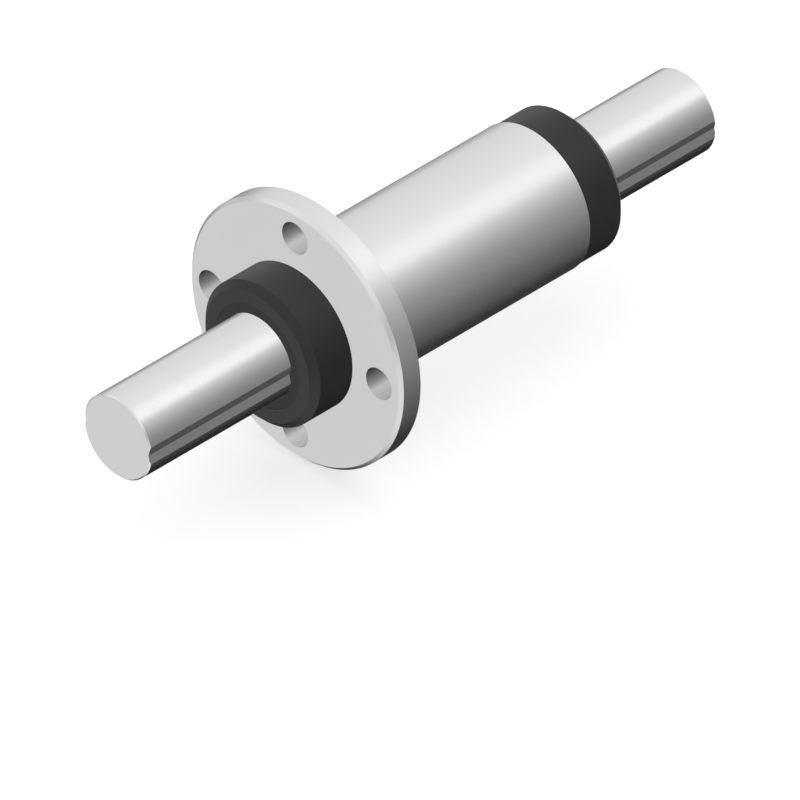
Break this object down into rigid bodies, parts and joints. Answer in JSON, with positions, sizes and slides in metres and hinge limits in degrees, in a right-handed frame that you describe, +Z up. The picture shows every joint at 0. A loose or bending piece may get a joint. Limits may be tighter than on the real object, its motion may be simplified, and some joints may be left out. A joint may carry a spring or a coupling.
{
  "type": "ball spline",
  "caption": "Flanged ball spline: a nut with end caps and recirculating balls slides along a grooved round shaft without turning on it.",
  "frame": {"origin": "on the spline's axis, at the rear (mounting) face of the flange", "axes": "+X along the axis from the flange end to the long end of the nut, +Z up through a bolt hole, loaded ball rows at -Y (right) and +Y (left)"},
  "size_m": [0.1015, 0.038, 0.038],
  "materials": {
    "ground_steel": "ground and polished hardened steel",
    "nut_steel": "ground hardened steel",
    "black_resin": "moulded black engineering resin",
    "black_rubber": "nitrile rubber",
    "sleeve_steel": "bright thin-walled steel",
    "guide_resin": "natural acetal resin",
    "ball_steel": "polished bearing steel",
    "key_steel": "plain bright key steel"
  },
  "bodies": {
    "nut": {"flanged_nut_body": "nut_steel", "ball_retainer": "sleeve_steel", "front_end_cap": "black_resin", "front_end_seal": "black_rubber", "front_upper_cap_key": "key_steel", "front_lower_cap_key": "key_steel", "front_right_return_guide": "guide_resin", "front_left_return_guide": "guide_resin", "rear_end_cap": "black_resin", "rear_end_seal": "black_rubber", "rear_upper_cap_key": "key_steel", "rear_lower_cap_key": "key_steel", "rear_right_return_guide": "guide_resin", "rear_left_return_guide": "guide_resin", "right_load_balls": "ball_steel", "right_return_balls": "ball_steel", "right_front_turn_balls": "ball_steel", "right_rear_turn_balls": "ball_steel", "left_load_balls": "ball_steel", "left_return_balls": "ball_steel", "left_front_turn_balls": "ball_steel", "left_rear_turn_balls": "ball_steel"},
    "shaft": {"spline_shaft": "ground_steel"}
  },
  "joints": [
    {"name": "shaft_slide", "type": "slide", "parent": "nut", "child": "shaft", "axis": [1, 0, 0], "range_m": [-0.019, 0.024]}
  ]
}
